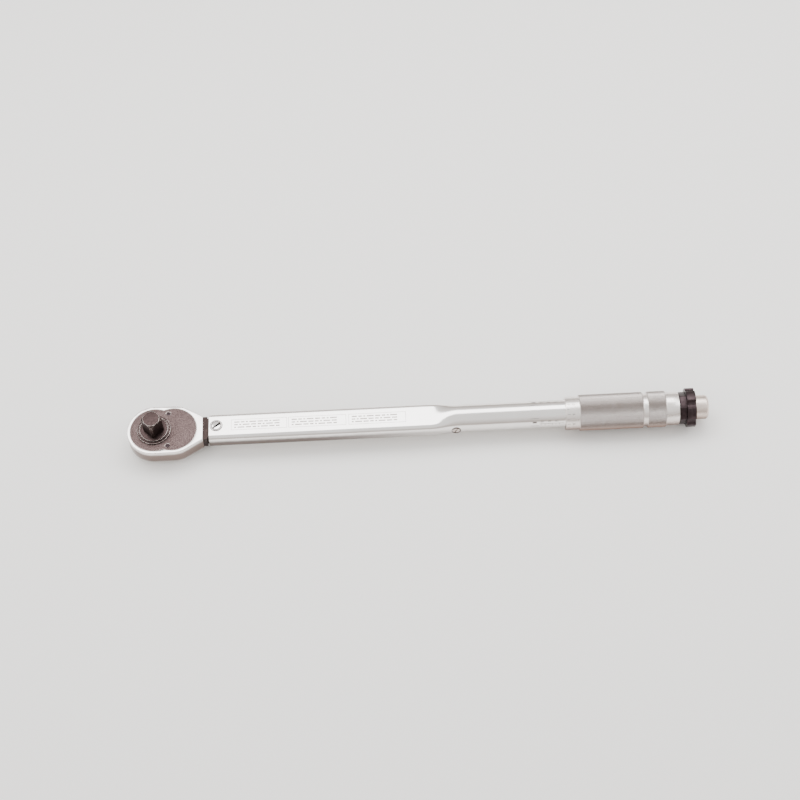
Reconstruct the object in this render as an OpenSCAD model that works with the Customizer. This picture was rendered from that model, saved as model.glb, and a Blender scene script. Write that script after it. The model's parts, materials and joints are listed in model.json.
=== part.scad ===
// Micrometer click torque wrench with a square-drive ratchet head.
// Origin: drive axis at the drive shoulder. +Z out along the drive, +X along the tube to the grip.

/* [Drive and head] */
// Square drive across flats
drive_af = 12.7; // [9.5:0.05:19.1]
// Square drive length above its shoulder
drive_len = 16; // [10:0.1:26]
// Diameter over the rounded corners of the drive
drive_corner_d = 16.4; // [12:0.1:25]
// Bevel at the drive tip
drive_bevel = 1.2; // [0.4:0.1:2]
// Drive detent ball diameter
detent_d = 5; // [3:0.1:6]
// Half width of the head around the drive
head_r = 21.5; // [18:0.1:28]
// Distance between the two round ends of the head
head_c = 14.7; // [10:0.1:20]
// Thickness of the head
head_t = 15; // [13:0.1:20]
// Width of the bright rim around the cover plate
rim_w = 2.3; // [1.5:0.1:4]
// Height of the drive shoulder above the head face
boss_rise = 1.2; // [0.4:0.1:3]
// Radius of the round drive boss in the cover plate
boss_r = 13.3; // [10:0.1:16]
// Drive axis to the straight end of the head face
head_len = 38.8; // [34:0.1:50]
// Width of the head where it meets the neck
neck_w = 20.6; // [16:0.1:26]
// Length of the neck between the head and the tube
collar_len = 5.2; // [3:0.1:10]

/* [Ratchet] */
// Teeth on the drive gear
gear_teeth = 36; // [24:12:72]
// Tip radius of the gear teeth
gear_tip_r = 16; // [13:0.1:20]
// Depth of the gear teeth
tooth_h = 1.2; // [0.8:0.1:2]
// Angle the pawl rocks each way
pawl_rock = 5.8; // [3:0.1:8]

/* [Tube] */
// Diameter of the round tube
tube_d = 22.2; // [18:0.1:30]
// Wall of the tube
tube_wall = 1.5; // [1:0.1:2.5]
// Width of the flattened tube
flat_w = 24; // [20:0.1:30]
// Height of the flattened tube
flat_h = 14; // [12.5:0.1:18]
// Outer corner radius of the flattened tube
flat_r = 4; // [3:0.1:6]
// Length of the flattened tube
flat_len = 175; // [120:1:240]
// Length of the blend from flat to round
blend_len = 22; // [12:1:40]
// Height of the head face above the tube axis
face_above_axis = 4.8; // [3:0.1:7]
// Radius of the pivot screw
pivot_r = 4.5; // [3:0.1:6]
// Tube front end to the pivot axis
pivot_inset = 5.7; // [5:0.1:14]

/* [Click mechanism] */
// Side of the square tilt block
block_s = 7; // [5:0.1:8]
// Angle the tilt block turns at the click
block_tilt = 18; // [10:1:24]
// Length of the thrust plunger
plunger_len = 15; // [10:0.5:25]
// Length of the main spring at the stored setting
spring_len = 49.6; // [40:0.1:90]
// Wire diameter of the main spring
wire_d = 3.2; // [2:0.1:4]
// Turns of the main spring
spring_turns = 8; // [5:1:12]

/* [Adjuster and grip] */
// Grip travel forward from the stored setting
travel_in = 18; // [10:1:24]
// Grip travel back from the stored setting
travel_out = 6; // [2:1:10]
// Thread lead of the adjusting screw
screw_lead = 1.5; // [1:0.25:2.5]
// Radius of the adjusting screw
screw_r = 5; // [4:0.1:6]
// Length of the grip
grip_len = 90.2; // [70:0.1:130]
// Wall of the grip at its plain bands
band_wall = 2.07; // [1.2:0.01:4]
// Height of the knurled bands above the plain bands
knurl_rise = 1.15; // [0.8:0.05:2.5]
// Length of the graduated front band
front_band = 11; // [8:0.1:16]
// Length of the short knurled band at the rear
rear_knurl = 15; // [8:0.1:25]
// Length of the plain band at the rear of the grip
rear_band = 10.2; // [6:0.1:16]
// Width of the groove between the knurled bands
groove_w = 3; // [2:0.1:5]

/* [Lock] */
// Radius of the lobed lock wheel
wheel_r = 15.5; // [13:0.1:18]
// Thickness of the lock wheel
wheel_t = 7; // [5:0.1:10]
// Lobes on the lock wheel
wheel_lobes = 6; // [3:1:9]
// Radius over the corners of the octagonal neck
neck_r = 12.8; // [10:0.1:14]
// Radius of the end cap
cap_r = 9.6; // [7:0.1:12]
// Length of the end cap
cap_len = 11; // [6:0.1:16]
// Travel of the lock cone
lock_travel = 0.5; // [0.2:0.05:1]

/* [Fits] */
// Radial gap of parts that turn or slide
run_gap = 0.05; // [0.02:0.01:0.1]
// Radial gap of the grip over the tube
slip_gap = 0.08; // [0.05:0.01:0.2]
// Free gap between parts that only pass each other
clear_gap = 0.3; // [0.2:0.05:0.6]

/* [Hidden] */
$fn = 96;
eps = 0.01;
face_z = -boss_rise;
axis_z = face_z - face_above_axis;
base_z = face_z - head_t;
plate_t = 1.8;
plate_sink = 0.2;
plate_top = face_z - plate_sink;
plate_low = plate_top - plate_t;
plate_r = head_r - rim_w;
floor_t = 3.9;
floor_z = base_z + floor_t;
gear_top = plate_low - clear_gap;
gear_low = floor_z + clear_gap;
gear_root_r = gear_tip_r - tooth_h;
tooth_pitch = 360 / gear_teeth;
pocket_r = gear_tip_r + 0.4;
hub_r = gear_tip_r * 0.56;
screw_hole_x = head_c * 0.75;
screw_hole_y = plate_r * 0.77;
detent_z = drive_len / 2;
detent_out = drive_af / 2 - detent_d / 2 + detent_d * 0.16;
detent_wall = 2.5;
detent_floor = detent_wall - drive_af / 2;
detent_seat = detent_d * 0.38;
// pawl and lever
pawl_x = gear_tip_r + 4.5;
pawl_pin_r = 1.5;
pawl_tip_r = gear_tip_r + 0.2;
pawl_back = 3.8;
pawl_room = 13.6;
pawl_top = gear_top - 0.5;
pawl_low = floor_z + 1.3;
lever_x = pawl_x + 7.1;
shaft_r = 3.2;
plunge_reach = lever_x - pawl_x - 2.75;
lever_z = base_z - clear_gap;
lever_t = 3.2;
disc_r = 7.5;
plunge_z = (pawl_top + pawl_low) / 2;
plunge_r = 1.2;
// tube chain
tube_x = head_len + collar_len;
pivot_x = tube_x + pivot_inset;
flat_x = tube_x + flat_len;
round_x = flat_x + blend_len;
tube_r = tube_d / 2;
bore_r = tube_r - tube_wall;
arm_x = round_x + 5;
arm_w = min(11, 2 * bore_r - 8);
arm_h = flat_h - 2 * tube_wall - 1.6;
seat_d = 0.8;
block_gap = 0.03;
plunger_x = arm_x + block_s - 2 * seat_d;
spring_x = plunger_x + plunger_len;
seat_x = spring_x + spring_len;
seat_len = 12;
thrust_r = 2.5;
thrust_x = seat_x + seat_len + 2;
adj_x = thrust_x + 2;
nut_x = adj_x + travel_out + 2;
nut_len = 17;
carrier_x = nut_x + nut_len + travel_in + 2;
carrier_len = 12;
ball_x = carrier_x + carrier_len / 2;
lock_ball_r = 2.5;
tube_end = ball_x + travel_out + 3;
bush_x = tube_end + travel_in + 1;
bush_len = 6.2;
grip_end = bush_x + bush_len;
grip_x = grip_end - grip_len;
grip_bore = tube_r + slip_gap;
band_r = grip_bore + band_wall;
knurl_r = band_r + knurl_rise;
// click angle from the tilt block
click_y = block_s * (1 - cos(block_tilt) + sin(block_tilt));
click_deg = asin(click_y / (arm_x - pivot_x));
screw_x = round_x - 1;
screw_tip_y = arm_w / 2 + click_y + 0.1;
set_r = 3;
// lock
wheel_gap = lock_travel + 0.1;
neck_len = 5.2;
neck_turn = 32;
notch_turn = 21;
notch_r = 4;
notch_out = 2.2;
neck_x = grip_end + wheel_gap;
wheel_x = neck_x + neck_len;
cap_x = wheel_x + wheel_t;
carrier_r = bore_r - clear_gap;
ball_rest = carrier_r - lock_ball_r;
ball_push = clear_gap - eps;
cone_angle = atan(ball_push / lock_travel);
cone_gap = 0.02;
cone_mid = ball_rest - (lock_ball_r + cone_gap) / cos(cone_angle);
cone_bore = cone_mid + 1.6;
spindle_r = 3;
cone_front = 3;
cone_room = lock_travel + 0.3;
cone_back = 1.2;
cone_big = cone_mid + cone_back * tan(cone_angle);
cone_end = ball_x + cone_back + 3;

// Places children with their +Z along the tube axis, starting at x.
module along(x) {
    translate([x, 0, axis_z])
        rotate([0, 90, 0])
            children();
}

// Rounded rectangle: h runs along local X, w along local Y.
module round_rect(h, w, r) {
    square([h, w - 2 * r], center = true);
    square([h - 2 * r, w], center = true);
    for (i = [-1, 1], j = [-1, 1])
        translate([i * (h / 2 - r), j * (w / 2 - r)])
            circle(r);
}

// Gear outline with symmetrical teeth; grow widens it for a running gap.
module gear_2d(grow) {
    tip = gear_tip_r + grow;
    root = gear_root_r + grow;
    a_tip = tooth_pitch * 0.14 + grow * 2;
    a_root = tooth_pitch * 0.39 + grow * 2;
    polygon([for (i = [0 : gear_teeth - 1], k = [0 : 3])
        let (r = (k == 0 || k == 3) ? root : tip)
        let (s = (k == 0) ? -a_root : (k == 1) ? -a_tip : (k == 2) ? a_tip : a_root)
        [r * cos(i * tooth_pitch + s), r * sin(i * tooth_pitch + s)]]);
}

// Helical wire along +Z as a closed tube of flat strips.
module coil(mean_r, wire_r, turns, height, steps, sides) {
    n = steps * turns;
    rise = height - 2 * wire_r;
    pts = [for (i = [0 : n], k = [0 : sides - 1])
        let (a = 360 * i / steps)
        let (b = 360 * k / sides)
        let (r = mean_r + wire_r * cos(b))
        [r * cos(a), r * sin(a), wire_r + rise * i / n + wire_r * sin(b)]];
    strips = [for (i = [0 : n - 1], k = [0 : sides - 1])
        let (j = (k + 1) % sides)
        [i * sides + k, (i + 1) * sides + k, (i + 1) * sides + j, i * sides + j]];
    first = [for (k = [0 : sides - 1]) k];
    last = [for (k = [sides - 1 : -1 : 0]) n * sides + k];
    polyhedron(pts, concat(strips, [first, last]), convexity = 10);
}

module head_outline() {
    // straight sides run from the rear round to the neck
    d = head_len - head_c;
    s = asin((head_r - 0.02) / sqrt(d * d + neck_w * neck_w / 4)) - atan(neck_w / 2 / d);
    tx = head_c + (head_r - 0.02) * sin(s);
    ty = (head_r - 0.02) * cos(s);
    circle(head_r);
    translate([head_c, 0])
        circle(head_r);
    polygon([[0, head_r - 0.02], [head_c, head_r - 0.02], [tx, ty], [head_len, neck_w / 2],
        [head_len, -neck_w / 2], [tx, -ty], [head_c, 0.02 - head_r], [0, 0.02 - head_r]]);
}

module plate_outline(shrink) {
    circle(plate_r - shrink);
    translate([head_c, 0])
        circle(plate_r - shrink);
}

module ratchet_head() {
    neck_top = face_z - 0.7;
    neck_low = axis_z - flat_h / 2 + tube_wall + 0.2;
    neck_in = flat_w - 2 * tube_wall - 4;
    color("silver")
    difference() {
        union() {
            translate([0, 0, base_z])
                linear_extrude(head_t)
                    head_outline();
            // stepped collar
            translate([head_len - 3, -neck_w / 2, neck_low - 1.2])
                cube([collar_len * 0.65 + 3, neck_w, neck_top - neck_low + 1.2]);
            // neck inside the tube
            translate([head_len, -neck_in / 2, neck_low])
                cube([pivot_x + 12 - head_len, neck_in, neck_top - neck_low]);
            // long arm back to the tilt block
            along(pivot_x + 10)
                linear_extrude(arm_x - pivot_x - 10)
                    square([arm_h, arm_w], center = true);
        }
        // recess for the cover plate
        translate([0, 0, plate_low])
            linear_extrude(plate_t + plate_sink + 1)
                plate_outline(0);
        // gear and pawl pockets
        translate([0, 0, floor_z])
            cylinder(h = plate_low - floor_z + 0.5, r = pocket_r);
        translate([gear_tip_r + 1, 0, floor_z])
            cylinder(h = plate_low - floor_z + 0.5, r = pawl_room);
        translate([lever_x, 0, floor_z])
            cylinder(h = plate_low - floor_z + 0.5, r = shaft_r + 1.4);
        // bores for the gear hub and the lever shaft
        translate([0, 0, base_z - 1])
            cylinder(h = floor_t + 2, r = hub_r + run_gap);
        translate([lever_x, 0, base_z - 1])
            cylinder(h = floor_t + 2, r = shaft_r + run_gap);
        // pawl pin hole
        translate([pawl_x, 0, floor_z - 2.4])
            cylinder(h = 4, r = pawl_pin_r);
        // cover screw holes
        for (s = [-1, 1])
            translate([screw_hole_x, s * screw_hole_y, face_z - 9])
                cylinder(h = 10, r = 1.25);
        // pivot bore
        translate([pivot_x, 0, axis_z - flat_h])
            cylinder(h = 2 * flat_h, r = pivot_r + run_gap);
        // seat for the tilt block
        along(arm_x - seat_d)
            linear_extrude(seat_d + 1)
                square(block_s + 0.7, center = true);
    }
}

module cover_plate() {
    color("dimgray")
    difference() {
        translate([0, 0, plate_low])
            linear_extrude(plate_t)
                plate_outline(run_gap);
        translate([0, 0, plate_low - 1])
            cylinder(h = plate_t + 2, r = boss_r + 2 * run_gap);
        for (s = [-1, 1])
            translate([screw_hole_x, s * screw_hole_y, plate_low - 1]) {
                cylinder(h = plate_t + 2, r = 1.3);
                translate([0, 0, plate_t])
                    cylinder(h = 1 + eps, r1 = 1.3, r2 = 1.9);
                translate([0, 0, plate_t + 1])
                    cylinder(h = 2, r = 1.9);
            }
    }
}

module cover_screws() {
    color("darkgray")
    for (s = [-1, 1])
        translate([screw_hole_x, s * screw_hole_y, 0])
            difference() {
                union() {
                    translate([0, 0, face_z - 8.5])
                        cylinder(h = plate_low - face_z + 8.5 + plate_t, r = 1.25);
                    translate([0, 0, plate_top - 0.95])
                        cylinder(h = 0.85, r1 = 1.25, r2 = 1.76);
                }
                translate([0, 0, plate_top])
                    cube([0.5, 5, 1.4], center = true);
                translate([0, 0, plate_top])
                    cube([5, 0.5, 1.4], center = true);
            }
}

module drive_square() {
    intersection() {
        translate([0, 0, -1])
            linear_extrude(drive_len + 1)
                square(drive_af, center = true);
        union() {
            translate([0, 0, -1])
                cylinder(h = drive_len + 1 - drive_bevel, r = drive_corner_d / 2);
            translate([0, 0, drive_len - drive_bevel])
                cylinder(h = drive_bevel, r1 = drive_corner_d / 2,
                    r2 = drive_corner_d / 2 - drive_bevel * 1.4);
        }
    }
}

module drive_gear() {
    color("dimgray")
    rotate([0, 0, 45])
        difference() {
            union() {
                rotate([0, 0, -45])
                    translate([0, 0, gear_low])
                        linear_extrude(gear_top - gear_low)
                            gear_2d(0);
                translate([0, 0, gear_top - eps])
                    cylinder(h = -0.4 - gear_top + eps, r = boss_r);
                translate([0, 0, -0.5])
                    cylinder(h = 0.5, r = boss_r - 2.1);
                translate([0, 0, base_z + 0.1])
                    cylinder(h = gear_low - base_z, r = hub_r);
                drive_square();
            }
            // turned groove between the boss rings
            translate([0, 0, -1])
                difference() {
                    cylinder(h = 2, r = boss_r - 1.6);
                    translate([0, 0, -1])
                        cylinder(h = 4, r = boss_r - 2.3);
                }
            // hole for the detent ball and its spring
            translate([0, 0, detent_z])
                rotate([0, 90, 0])
                    translate([0, 0, detent_floor])
                        cylinder(h = drive_af, r = detent_d / 2 + run_gap);
            // dimple under the hub
            translate([0, 0, base_z])
                cylinder(h = 1.2, r = hub_r * 0.55);
        }
}

module detent_ball() {
    color("gainsboro")
    rotate([0, 0, 45])
        translate([detent_out, 0, detent_z])
            sphere(detent_d / 2);
}

module detent_spring() {
    back = detent_floor + run_gap;
    color("gray")
    rotate([0, 0, 45])
        translate([back, 0, detent_z])
            rotate([0, 90, 0])
                coil(detent_d * 0.35, 0.25, 4, detent_out - back - detent_seat, 12, 6);
}

// Pawl at its middle position; teeth at both ends are cut to mesh when rocked.
module pawl_2d() {
    mesh_gap = 0.08;
    difference() {
        union() {
            difference() {
                circle(pawl_tip_r + pawl_back);
                circle(pawl_tip_r);
                polygon([[0, 0], [60 * cos(39), 60 * sin(39)], [-60, 60], [-60, -60],
                    [60 * cos(39), -60 * sin(39)]]);
            }
            translate([pawl_x - 1.5, -3])
                square([4.2, 6]);
        }
        // relief over the middle
        intersection() {
            circle(pawl_tip_r + 0.9);
            polygon([[0, 0], [60, 60 * tan(22)], [60, -60 * tan(22)]]);
        }
        for (m = [0, 1])
            mirror([0, m])
                intersection() {
                    translate([pawl_x, 0])
                        rotate(-pawl_rock)
                            translate([-pawl_x, 0])
                                gear_2d(mesh_gap);
                    translate([0, 2])
                        square(60);
                }
        translate([pawl_x, 0])
            circle(pawl_pin_r + run_gap);
        translate([lever_x, 0])
            circle(plunge_reach + 0.05);
    }
}

module pawl() {
    color("gray")
    translate([0, 0, pawl_low])
        linear_extrude(pawl_top - pawl_low)
            pawl_2d();
}

module pawl_pin() {
    color("lightgray")
    translate([pawl_x, 0, floor_z - 2.4])
        cylinder(h = plate_low - floor_z + 2.3, r = pawl_pin_r);
}

// Places children at the lever in its middle position: its plunger points along -X.
module lever_frame() {
    translate([lever_x, 0, 0])
        children();
}

module reversing_lever() {
    color("dimgray")
    lever_frame()
        difference() {
            union() {
                translate([0, 0, lever_z - lever_t])
                    cylinder(h = lever_t, r = disc_r);
                translate([0, 0, lever_z - eps])
                    cylinder(h = plate_low - 0.4 - lever_z + eps, r = shaft_r);
                translate([0, -3.5, lever_z - lever_t - 0.8])
                    cube([disc_r + 8, 7, 2.6]);
                translate([disc_r + 8, 0, lever_z - lever_t - 0.8])
                    cylinder(h = 2.6, r = 3.5);
            }
            // thumb grooves
            for (i = [0 : 3])
                translate([disc_r + 2 + 2.4 * i, 0, lever_z - lever_t - 0.8])
                    rotate([90, 0, 0])
                        cylinder(h = 12, r = 0.7, center = true, $fn = 24);
            // cross hole for the plunger
            translate([0, 0, plunge_z])
                rotate([0, -90, 0])
                    translate([0, 0, -shaft_r + 1])
                        cylinder(h = 2 * shaft_r, r = plunge_r + run_gap);
            // groove for the retaining ring
            translate([0, 0, floor_z + 0.1])
                difference() {
                    cylinder(h = 0.9, r = shaft_r + 1);
                    translate([0, 0, -1])
                        cylinder(h = 3, r = shaft_r - 0.5);
                }
        }
}

module lever_clip() {
    color("gray")
    lever_frame()
        translate([0, 0, floor_z + 0.12])
            difference() {
                cylinder(h = 0.85, r = shaft_r + 0.9);
                translate([0, 0, -1])
                    cylinder(h = 3, r = shaft_r - 0.5);
                translate([0, -1.2, -1])
                    cube([6, 2.4, 3]);
            }
}

module pawl_plunger() {
    color("lightgray")
    lever_frame()
        translate([0, 0, plunge_z])
            rotate([0, -90, 0]) {
                translate([0, 0, 0.6])
                    cylinder(h = plunge_reach - plunge_r - 0.6, r = plunge_r);
                translate([0, 0, plunge_reach - plunge_r])
                    sphere(plunge_r);
            }
}

module plunger_spring() {
    color("gray")
    lever_frame()
        translate([0, 0, plunge_z])
            rotate([0, -90, 0])
                translate([0, 0, -shaft_r + 1.03])
                    coil(0.85, 0.18, 3, shaft_r - 0.45, 12, 6);
}

// Solid of the tube's outside, or of its bore when inset by the wall.
module tube_form(inset, ends) {
    along(tube_x - ends)
        linear_extrude(flat_len + ends)
            round_rect(flat_h - 2 * inset, flat_w - 2 * inset, flat_r - inset);
    hull() {
        along(flat_x)
            linear_extrude(eps)
                round_rect(flat_h - 2 * inset, flat_w - 2 * inset, flat_r - inset, $fn = 48);
        along(round_x - eps)
            cylinder(h = eps, r = tube_r - inset);
    }
    along(round_x)
        cylinder(h = tube_end - round_x + ends, r = tube_r - inset);
}

module tube() {
    color("gainsboro")
    difference() {
        tube_form(0, 0);
        tube_form(tube_wall, 1);
        translate([pivot_x, 0, axis_z - flat_h])
            cylinder(h = 2 * flat_h, r = pivot_r);
        translate([screw_x, 0, axis_z])
            rotate([90, 0, 0])
                cylinder(h = tube_d, r = set_r);
        for (a = [0, 180])
            along(nut_x + nut_len / 2)
                rotate([0, 0, a])
                    rotate([0, 90, 0])
                        cylinder(h = tube_d, r = 1.5);
    }
}

module pivot_screw() {
    top = axis_z + flat_h / 2 + 0.3;
    low = axis_z - flat_h / 2 - 0.3;
    color("silver")
    difference() {
        translate([pivot_x, 0, low])
            cylinder(h = top - low, r = pivot_r);
        translate([pivot_x, 0, top - 0.5])
            difference() {
                cylinder(h = 1, r = pivot_r - 0.35);
                translate([0, 0, -1])
                    cylinder(h = 3, r = pivot_r - 1.1);
            }
        translate([pivot_x, 0, top])
            rotate([0, 0, 40])
                cube([2 * pivot_r - 2.4, 0.8, 1.6], center = true);
    }
}

module calibration_screw() {
    color("dimgray")
    translate([screw_x, 0, axis_z])
        rotate([90, 0, 0])
            difference() {
                translate([0, 0, screw_tip_y])
                    cylinder(h = tube_r - screw_tip_y - 0.15, r = set_r);
                translate([0, 0, tube_r])
                    rotate([0, 0, 70])
                        cube([2 * set_r + 2, 0.9, 1.8], center = true);
            }
}

module tilt_block() {
    color("gray")
    along(arm_x - seat_d + block_gap)
        linear_extrude(block_s - 2 * block_gap)
            square(block_s - 2 * block_gap, center = true);
}

module thrust_plunger() {
    color("darkgray")
    difference() {
        union() {
            along(plunger_x)
                cylinder(h = plunger_len, r = bore_r - 2 * run_gap);
            along(spring_x - eps)
                cylinder(h = 5, r = bore_r * 0.5);
        }
        along(plunger_x - 1)
            linear_extrude(seat_d + 1)
                square(block_s + 0.7, center = true);
    }
}

module main_spring() {
    color("slategray")
    along(spring_x + 0.05)
        coil(bore_r - 0.6 - wire_d / 2, wire_d / 2, spring_turns, spring_len - 0.1, 18, 8);
}

module spring_seat() {
    color("darkgray")
    difference() {
        union() {
            along(seat_x)
                cylinder(h = seat_len, r = bore_r - 2 * run_gap);
            along(seat_x - 5)
                cylinder(h = 5 + eps, r = bore_r * 0.5);
        }
        along(thrust_x)
            sphere(thrust_r + run_gap);
    }
}

module thrust_ball() {
    color("gainsboro")
    along(thrust_x)
        sphere(thrust_r);
}

module adjuster_nut() {
    color("darkgray")
    difference() {
        along(nut_x)
            cylinder(h = nut_len, r = bore_r);
        along(nut_x - 1)
            cylinder(h = nut_len + 2, r = screw_r + run_gap);
        for (a = [0, 180])
            along(nut_x + nut_len / 2)
                rotate([0, 0, a])
                    rotate([0, 90, 0])
                        cylinder(h = tube_d, r = 1.5);
    }
}

module nut_screws() {
    color("dimgray")
    for (a = [0, 180])
        along(nut_x + nut_len / 2)
            rotate([0, 0, a])
                rotate([0, 90, 0])
                    translate([0, 0, screw_r + 0.6])
                        cylinder(h = tube_r - screw_r - 0.8, r = 1.5);
}

module adjusting_screw() {
    color("darkgray")
    difference() {
        union() {
            along(adj_x)
                cylinder(h = carrier_x - adj_x + eps, r = screw_r);
            along(carrier_x)
                cylinder(h = carrier_len, r = carrier_r);
            along(carrier_x + carrier_len - eps)
                cylinder(h = bush_x - carrier_x - carrier_len + 2, r = cone_bore + 1.6);
        }
        along(thrust_x)
            sphere(thrust_r + run_gap);
        along(ball_x - cone_front - cone_room)
            cylinder(h = bush_x - ball_x + 20, r = cone_bore);
        for (a = [0, 120, 240])
            along(ball_x)
                rotate([0, 0, a])
                    rotate([0, 90, 0])
                        cylinder(h = tube_r, r = lock_ball_r + run_gap);
    }
}

module end_bush() {
    color("gray")
    difference() {
        along(bush_x)
            cylinder(h = bush_len, r = grip_bore);
        along(bush_x - 1)
            cylinder(h = bush_len + 2, r = spindle_r + run_gap);
        along(bush_x - 1)
            cylinder(h = 3, r = cone_bore + 1.6);
    }
}

module grip() {
    g0 = grip_x;
    k1 = g0 + front_band;
    r0 = grip_end - rear_band;
    k2 = r0 - rear_knurl;
    k3 = k2 - groove_w;
    c = 0.7;
    color("lightgray")
    along(0)
        rotate_extrude()
            polygon([[grip_bore, g0 + 0.4], [grip_bore + 0.4, g0], [band_r - 0.5, g0],
                [band_r, g0 + 0.5], [band_r, k1], [knurl_r - c, k1], [knurl_r, k1 + c],
                [knurl_r, k3 - c], [knurl_r - c, k3], [band_r, k3], [band_r, k2],
                [knurl_r - c, k2], [knurl_r, k2 + c], [knurl_r, r0 - c],
                [knurl_r - c, r0], [band_r, r0], [band_r, grip_end - 0.5],
                [band_r - 0.5, grip_end], [grip_bore, grip_end]]);
}

module lock_cone() {
    color("lightgray") {
        along(ball_x - cone_front)
            cylinder(h = cone_front + cone_back,
                r1 = cone_mid - cone_front * tan(cone_angle), r2 = cone_big);
        along(ball_x + cone_back - eps)
            cylinder(h = cone_end - ball_x - cone_back, r = cone_big);
    }
}

module lock_ball(a) {
    color("gainsboro")
    along(ball_x)
        rotate([0, 0, a])
            translate([ball_rest, 0, 0])
                sphere(lock_ball_r);
}

module lock_spindle() {
    color("darkgray")
    along(cone_end + 0.02)
        cylinder(h = cap_x + 3 - cone_end, r = spindle_r);
}

module lock_wheel() {
    color([0.09, 0.09, 0.1])
    difference() {
        union() {
            along(neck_x)
                rotate([0, 0, neck_turn])
                    cylinder(h = neck_len + eps, r = neck_r, $fn = 8);
            along(wheel_x)
                cylinder(h = wheel_t, r = wheel_r);
        }
        // finger notches
        for (i = [0 : wheel_lobes - 1])
            along(wheel_x - 1)
                rotate([0, 0, i * 360 / wheel_lobes + notch_turn])
                    translate([wheel_r + notch_out, 0, 0])
                        cylinder(h = wheel_t + 2, r = notch_r);
        along(neck_x - 1)
            cylinder(h = neck_len + wheel_t + 2, r = spindle_r);
    }
}

module end_cap() {
    color("silver")
    difference() {
        along(cap_x)
            rotate_extrude()
                polygon([[0, 0], [cap_r, 0], [cap_r, cap_len - 1.8],
                    [cap_r - 1.6, cap_len - 0.4], [cap_r - 3, cap_len], [0, cap_len]]);
        along(cap_x - 1)
            cylinder(h = 4 + 0.02, r = spindle_r);
    }
}

ratchet_head();
cover_plate();
cover_screws();
drive_gear();
detent_ball();
detent_spring();
pawl();
pawl_pin();
reversing_lever();
lever_clip();
pawl_plunger();
plunger_spring();
tube();
pivot_screw();
calibration_screw();
tilt_block();
thrust_plunger();
main_spring();
spring_seat();
thrust_ball();
adjuster_nut();
nut_screws();
adjusting_screw();
end_bush();
grip();
lock_cone();
lock_ball(0);  // lock_ball_1
lock_ball(120);  // lock_ball_2
lock_ball(240);  // lock_ball_3
lock_spindle();
lock_wheel();
end_cap();
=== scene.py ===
import bpy
import json
import math
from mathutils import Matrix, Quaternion, Vector

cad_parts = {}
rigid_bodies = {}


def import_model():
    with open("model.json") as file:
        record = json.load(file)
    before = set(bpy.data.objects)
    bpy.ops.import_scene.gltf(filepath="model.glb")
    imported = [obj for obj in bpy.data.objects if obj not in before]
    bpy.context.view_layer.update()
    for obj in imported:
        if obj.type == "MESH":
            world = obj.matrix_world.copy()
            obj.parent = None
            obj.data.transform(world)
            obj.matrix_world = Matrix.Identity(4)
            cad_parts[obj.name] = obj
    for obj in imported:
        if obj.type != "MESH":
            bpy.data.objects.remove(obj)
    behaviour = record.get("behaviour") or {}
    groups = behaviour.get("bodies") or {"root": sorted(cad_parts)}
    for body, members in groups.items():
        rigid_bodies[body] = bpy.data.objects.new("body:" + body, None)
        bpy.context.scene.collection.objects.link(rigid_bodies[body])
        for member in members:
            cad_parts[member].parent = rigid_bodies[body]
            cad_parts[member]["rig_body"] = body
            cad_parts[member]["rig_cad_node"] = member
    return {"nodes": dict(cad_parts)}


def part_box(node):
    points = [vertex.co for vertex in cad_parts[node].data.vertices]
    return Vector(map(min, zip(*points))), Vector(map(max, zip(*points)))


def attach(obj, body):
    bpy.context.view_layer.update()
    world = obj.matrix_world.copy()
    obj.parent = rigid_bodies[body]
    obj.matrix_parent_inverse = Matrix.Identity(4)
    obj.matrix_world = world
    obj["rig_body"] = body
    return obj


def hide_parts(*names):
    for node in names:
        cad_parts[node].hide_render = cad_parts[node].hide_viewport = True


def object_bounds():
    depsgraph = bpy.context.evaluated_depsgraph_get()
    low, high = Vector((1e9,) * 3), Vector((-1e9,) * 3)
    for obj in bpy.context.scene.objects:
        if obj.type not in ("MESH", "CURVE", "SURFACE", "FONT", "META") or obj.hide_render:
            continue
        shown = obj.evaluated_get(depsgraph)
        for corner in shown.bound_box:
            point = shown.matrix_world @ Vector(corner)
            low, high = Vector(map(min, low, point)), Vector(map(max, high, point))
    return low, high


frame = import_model()
nodes = frame["nodes"]
cadLow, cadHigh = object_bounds()
mm = 0.001


def hexColour(code):  # sRGB hex to linear
    parts = [int(code[i:i + 2], 16) / 255 for i in (1, 3, 5)]
    return [p / 12.92 if p <= 0.04045 else ((p + 0.055) / 1.055) ** 2.4 for p in parts] + [1.0]


def addNode(tree, kind, settings=None, links=None):  # links: input -> output socket or value
    node = tree.nodes.new(kind)
    for key, value in (settings or {}).items():
        setattr(node, key, value)
    for key, value in (links or {}).items():
        if isinstance(value, bpy.types.NodeSocket):
            tree.links.new(value, node.inputs[key])
        else:
            node.inputs[key].default_value = value
    return node


def startOver():
    if bpy.context.object and bpy.context.object.mode != "OBJECT":
        bpy.ops.object.mode_set(mode="OBJECT")
    bpy.ops.object.select_all(action="DESELECT")


def pick(piece):
    startOver()
    piece.select_set(True)
    bpy.context.view_layer.objects.active = piece


def settle(piece):  # the place goes into the mesh
    pick(piece)
    bpy.ops.object.transform_apply(location=True, rotation=True, scale=True)
    return piece


def join(name, parts):
    startOver()
    for part in parts:
        part.select_set(True)
    bpy.context.view_layer.objects.active = parts[0]
    if len(parts) > 1:
        bpy.ops.object.join()
    parts[0].name = name
    return parts[0]


def smooth(piece, degrees=32):
    pick(piece)
    bpy.ops.object.shade_smooth_by_angle(angle=math.radians(degrees))


def dress(piece, materials):  # before any bevel, so that a bevel can name its material
    piece.data.materials.clear()
    for made in materials:
        piece.data.materials.append(made)


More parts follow.
